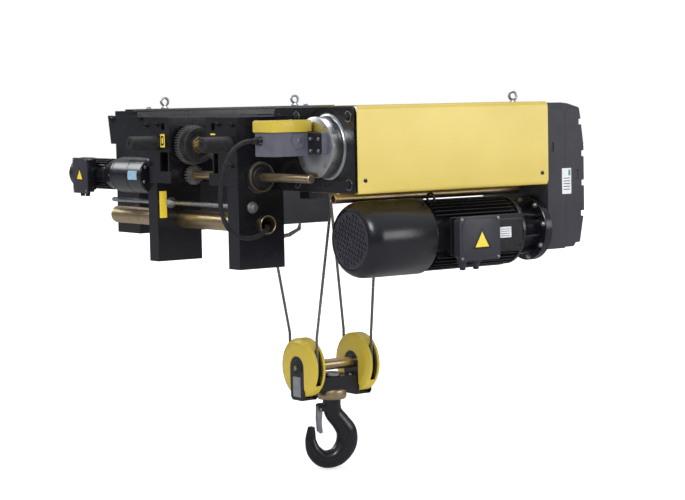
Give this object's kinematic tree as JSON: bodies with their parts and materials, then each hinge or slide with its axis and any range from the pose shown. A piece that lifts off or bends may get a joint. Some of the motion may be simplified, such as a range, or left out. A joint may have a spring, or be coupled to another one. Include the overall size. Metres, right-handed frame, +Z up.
{
  "type": "electric wire rope hoist",
  "caption": "Low-headroom electric wire rope hoist with monorail trolley, yellow drum cover, hoist motor, gearbox and hook block on wire rope.",
  "frame": {"origin": "on the top face of the runway beam's lower flange, midway between the two wheel axles and the two rows of wheels", "axes": "+X along the runway beam towards the gearbox, +Y across the beam towards the switch cabinet, +Z up"},
  "size_m": [1.2401, 1.566, 1.2729],
  "materials": {
    "black_paint": "semi-gloss",
    "slate_paint": "satin",
    "yellow_paint": "semi-gloss",
    "grey_plastic": "satin",
    "gold_zinc": "satin",
    "bright_zinc": "satin",
    "machined_steel": "bright",
    "dark_iron": "oily",
    "wire_rope": "stranded, greased",
    "black_plastic": "matt",
    "black_rubber": "matt"
  },
  "bodies": {
    "trolley": {"near_frame": "black_paint", "far_frame": "black_paint", "near_leg": "black_paint", "far_leg": "black_paint", "front_tie_tube": "gold_zinc", "rear_tie_tube": "gold_zinc", "clamp_rod": "bright_zinc", "shaft_bearing_near": "black_plastic", "travel_reducer": "slate_paint", "travel_motor": "black_paint", "buffer_near": "black_rubber", "buffer_far": "black_rubber", "drum_end_plate": "black_paint", "spacer_tube": "gold_zinc", "drum_cover": "yellow_paint", "gearbox_housing": "slate_paint", "gearbox_cover": "slate_paint", "fan_cover": "black_paint", "fan_grille": "black_plastic", "motor_stator": "black_paint", "motor_end_shield": "black_paint", "terminal_box": "slate_paint", "terminal_box_lid": "slate_paint", "limit_switch_body": "grey_plastic", "limit_switch_lid": "yellow_paint", "limit_switch_cord": "black_rubber", "rope_fall_1": "wire_rope", "rope_fall_2": "wire_rope", "rope_fall_3": "wire_rope", "rope_fall_4": "wire_rope", "return_fork": "black_paint", "switch_cabinet": "black_paint", "eye_bolt_1": "bright_zinc", "eye_bolt_2": "bright_zinc", "eye_bolt_3": "bright_zinc"},
    "drum": {"rope_drum": "dark_iron", "drum_end_disc": "machined_steel"},
    "rotor": {"motor_rotor": "machined_steel", "cooling_fan": "black_plastic"},
    "first_gear": {"first_shaft": "machined_steel"},
    "second_gear": {"second_shaft": "machined_steel"},
    "guide": {"rope_guide": "black_plastic"},
    "top_sheave": {"return_sheave": "dark_iron"},
    "block": {"sheave_cover_left": "yellow_paint", "sheave_cover_right": "yellow_paint", "hanger_left": "black_paint", "hanger_right": "black_paint", "block_shaft": "gold_zinc"},
    "left_sheave": {"sheave_left": "dark_iron"},
    "right_sheave": {"sheave_right": "dark_iron"},
    "swing": {"crosshead": "black_paint", "thrust_bearing": "gold_zinc"},
    "hook_body": {"hook": "black_paint"},
    "latch": {"hook_latch": "bright_zinc"},
    "drive": {"travel_shaft": "gold_zinc"},
    "wheel_fn": {"wheel_front_near": "dark_iron"},
    "wheel_ff": {"wheel_front_far": "dark_iron"},
    "wheel_rn": {"wheel_rear_near": "dark_iron"},
    "wheel_rf": {"wheel_rear_far": "dark_iron"},
    "door": {"cabinet_door": "black_paint"}
  },
  "joints": [
    {"name": "drum_spin", "type": "hinge", "parent": "trolley", "child": "drum", "pos_m": [-0.24, -0.556, 0.055], "axis": [1, 0, 0], "range_deg": [0, 360]},
    {"name": "guide_slide", "type": "slide", "parent": "trolley", "child": "guide", "axis": [1, 0, 0], "range_m": [0, 0.013]},
    {"name": "second_gear_spin", "type": "hinge", "parent": "trolley", "child": "second_gear", "pos_m": [0.58, -0.52385, -0.07766], "axis": [1, 0, 0], "range_deg": [-1313, 0]},
    {"name": "first_gear_spin", "type": "hinge", "parent": "trolley", "child": "first_gear", "pos_m": [0.58, -0.60423, -0.1346], "axis": [1, 0, 0], "range_deg": [0, 2041]},
    {"name": "rotor_spin", "type": "hinge", "parent": "trolley", "child": "rotor", "pos_m": [0.16, -0.629, -0.232], "axis": [1, 0, 0], "range_deg": [-4810, 0]},
    {"name": "hook_lift", "type": "slide", "parent": "trolley", "child": "block", "axis": [0, 0, 1], "range_m": [0, 0.1576], "deforming": ["rope_fall_1", "rope_fall_2", "rope_fall_3", "rope_fall_4"]},
    {"name": "top_sheave_spin", "type": "hinge", "parent": "trolley", "child": "top_sheave", "pos_m": [0.032, -0.206, -0.02], "axis": [-0.7193, 0.6947, 0], "range_deg": [0, 720]},
    {"name": "left_sheave_spin", "type": "hinge", "parent": "block", "child": "left_sheave", "pos_m": [0.004, -0.066, -0.698], "axis": [1, 0, 0], "range_deg": [0, 150]},
    {"name": "right_sheave_spin", "type": "hinge", "parent": "block", "child": "right_sheave", "pos_m": [0.23, -0.066, -0.698], "axis": [1, 0, 0], "range_deg": [-360, 0]},
    {"name": "crosshead_tilt", "type": "hinge", "parent": "block", "child": "swing", "pos_m": [0.117, -0.066, -0.76], "axis": [1, 0, 0], "range_deg": [-10, 10]},
    {"name": "hook_swivel", "type": "hinge", "parent": "swing", "child": "hook_body", "pos_m": [0.117, -0.066, -0.83], "axis": [0, 0, 1], "continuous": true},
    {"name": "latch_pivot", "type": "hinge", "parent": "hook_body", "child": "latch", "pos_m": [0.0762, -0.04952, -0.848], "axis": [0.3746, 0.9272, 0], "range_deg": [-24, 0], "stiffness_Nm_per_rad": 0.25, "springref_deg": 11.46},
    {"name": "travel_drive_spin", "type": "hinge", "parent": "trolley", "child": "drive", "pos_m": [-0.3, 0, -0.041], "axis": [0, 1, 0], "continuous": true},
    {"name": "wheel_front_near_spin", "type": "hinge", "parent": "trolley", "child": "wheel_fn", "pos_m": [-0.305, -0.09, 0.058], "axis": [0, 1, 0], "continuous": true},
    {"name": "wheel_front_far_spin", "type": "hinge", "parent": "trolley", "child": "wheel_ff", "pos_m": [-0.305, 0.09, 0.058], "axis": [0, 1, 0], "continuous": true},
    {"name": "wheel_rear_near_spin", "type": "hinge", "parent": "trolley", "child": "wheel_rn", "pos_m": [0.305, -0.09, 0.058], "axis": [0, 1, 0], "continuous": true},
    {"name": "wheel_rear_far_spin", "type": "hinge", "parent": "trolley", "child": "wheel_rf", "pos_m": [0.305, 0.09, 0.058], "axis": [0, 1, 0], "continuous": true},
    {"name": "door_hinge", "type": "hinge", "parent": "trolley", "child": "door", "pos_m": [-0.23, 0.75, 0], "axis": [0, 0, 1], "range_deg": [0, 110]}
  ],
  "couplings": [
    {"joint": "guide_slide", "follows": "drum_spin", "m_per_rad": 0.002},
    {"joint": "second_gear_spin", "follows": "drum_spin", "ratio": -3.6429},
    {"joint": "first_gear_spin", "follows": "drum_spin", "ratio": 5.6667},
    {"joint": "rotor_spin", "follows": "drum_spin", "ratio": -13.357},
    {"joint": "hook_lift", "follows": "drum_spin", "m_per_rad": 0.025},
    {"joint": "top_sheave_spin", "follows": "drum_spin", "ratio": 0.96154},
    {"joint": "left_sheave_spin", "follows": "drum_spin", "ratio": 0.3125},
    {"joint": "right_sheave_spin", "follows": "drum_spin", "ratio": -0.9375},
    {"joint": "wheel_front_near_spin", "follows": "travel_drive_spin", "ratio": -0.48387},
    {"joint": "wheel_front_far_spin", "follows": "travel_drive_spin", "ratio": -0.48387},
    {"joint": "wheel_rear_near_spin", "follows": "travel_drive_spin", "ratio": -0.48387},
    {"joint": "wheel_rear_far_spin", "follows": "travel_drive_spin", "ratio": -0.48387}
  ]
}
